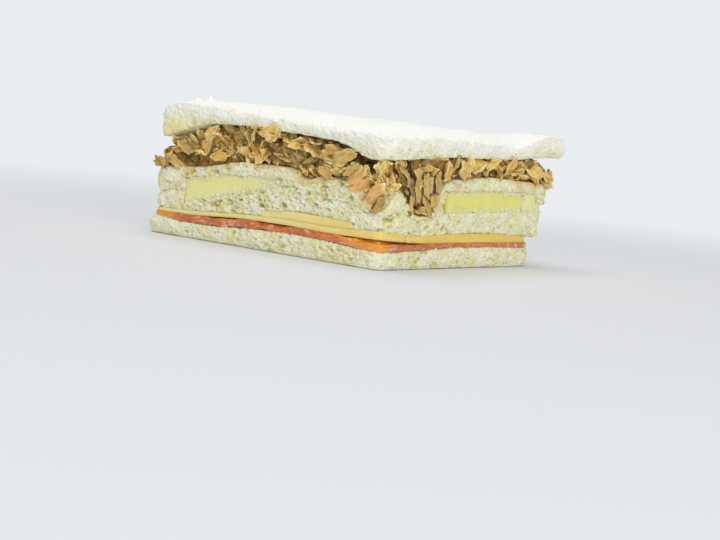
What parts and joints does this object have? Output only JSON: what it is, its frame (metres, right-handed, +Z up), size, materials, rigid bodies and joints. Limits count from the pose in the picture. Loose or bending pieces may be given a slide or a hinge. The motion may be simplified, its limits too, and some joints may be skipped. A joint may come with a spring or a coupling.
{
  "type": "triple sandwich",
  "caption": "Triangular half of a layered crustless white-bread sandwich, filled with cured ham, cheese, pineapple and flaked tuna, as cut.",
  "frame": {"origin": "centre of the bounding box on the plane that the sandwich rests on", "axes": "+Z up through the layers; +X along the long diagonal cut, to the right as the square corner faces the viewer; +Y from the square corner to the diagonal cut"},
  "size_m": [0.142, 0.0776, 0.0457],
  "materials": {
    "bread": "soft open crumb, near white with a faint yellow-green shade in its pores, fully matt",
    "cured_ham": "moist orange-red cured meat with whitish fat marbling",
    "cheese": "smooth pale yellow sliced cheese with a soft sheen",
    "pineapple": "wet, slightly translucent pale yellow fruit with fine upright fibres",
    "tuna": "tan flaked fish with darker hollows and oily yellow edges"
  },
  "bodies": {
    "root": {"bread_bottom": "bread", "cured_ham": "cured_ham", "cheese_left": "cheese", "cheese_right": "cheese", "cheese_middle": "cheese", "bread_lower": "bread", "pineapple_left": "pineapple", "pineapple_right": "pineapple", "pineapple_end": "pineapple", "bread_upper": "bread", "tuna": "tuna", "bread_top": "bread"}
  },
  "joints": []
}
